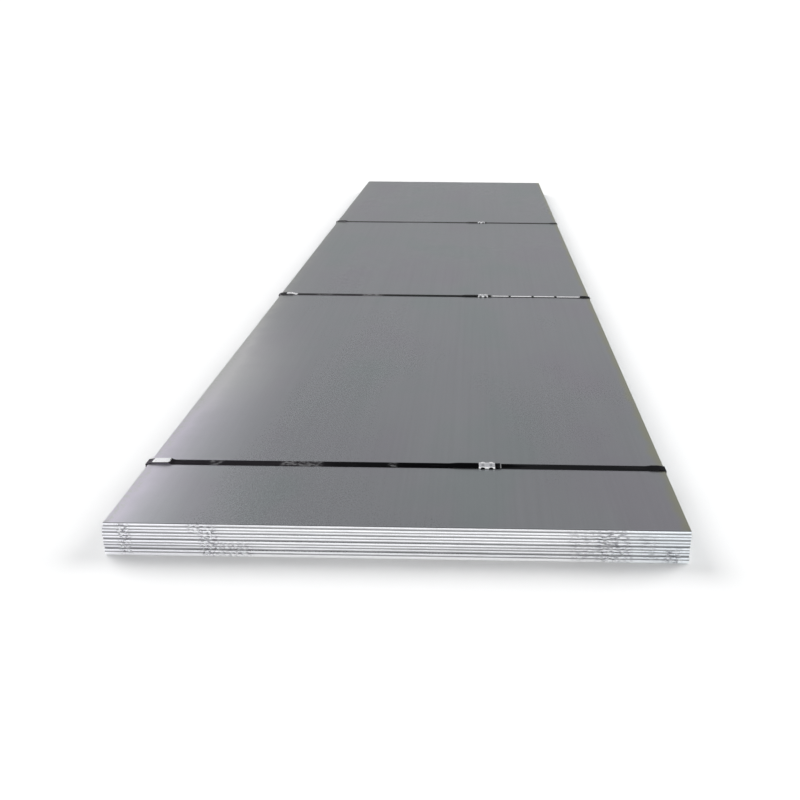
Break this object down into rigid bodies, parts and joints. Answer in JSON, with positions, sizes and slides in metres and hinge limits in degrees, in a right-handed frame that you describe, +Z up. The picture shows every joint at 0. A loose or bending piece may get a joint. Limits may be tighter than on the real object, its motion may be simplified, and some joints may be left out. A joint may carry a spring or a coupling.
{
  "type": "strapped steel plate stack",
  "caption": "Flat stack of wide hot-rolled steel plates held by steel straps round its width, each strap joined on top by a notched crimp seal.",
  "frame": {"origin": "middle of the footprint, on the surface that the straps' undersides stand on", "axes": "+X across the plates, +Y along them away from the front end, +Z up"},
  "size_m": [1.5156, 6.004, 0.103],
  "materials": {
    "hot_rolled_steel": "hot-rolled, thin grey mill scale, sheared edges bright",
    "black_strap": "black lacquered steel strap, semi-gloss",
    "zinc_seal": "bright zinc-plated sheet"
  },
  "bodies": {
    "root": {"plate_01": "hot_rolled_steel", "plate_02": "hot_rolled_steel", "plate_03": "hot_rolled_steel", "plate_04": "hot_rolled_steel", "plate_05": "hot_rolled_steel", "plate_06": "hot_rolled_steel", "plate_07": "hot_rolled_steel", "plate_08": "hot_rolled_steel", "plate_09": "hot_rolled_steel", "plate_10": "hot_rolled_steel", "strap_front": "black_strap", "strap_middle": "black_strap", "strap_rear": "black_strap", "seal_front": "zinc_seal", "seal_middle": "zinc_seal", "seal_rear": "zinc_seal"}
  },
  "joints": []
}
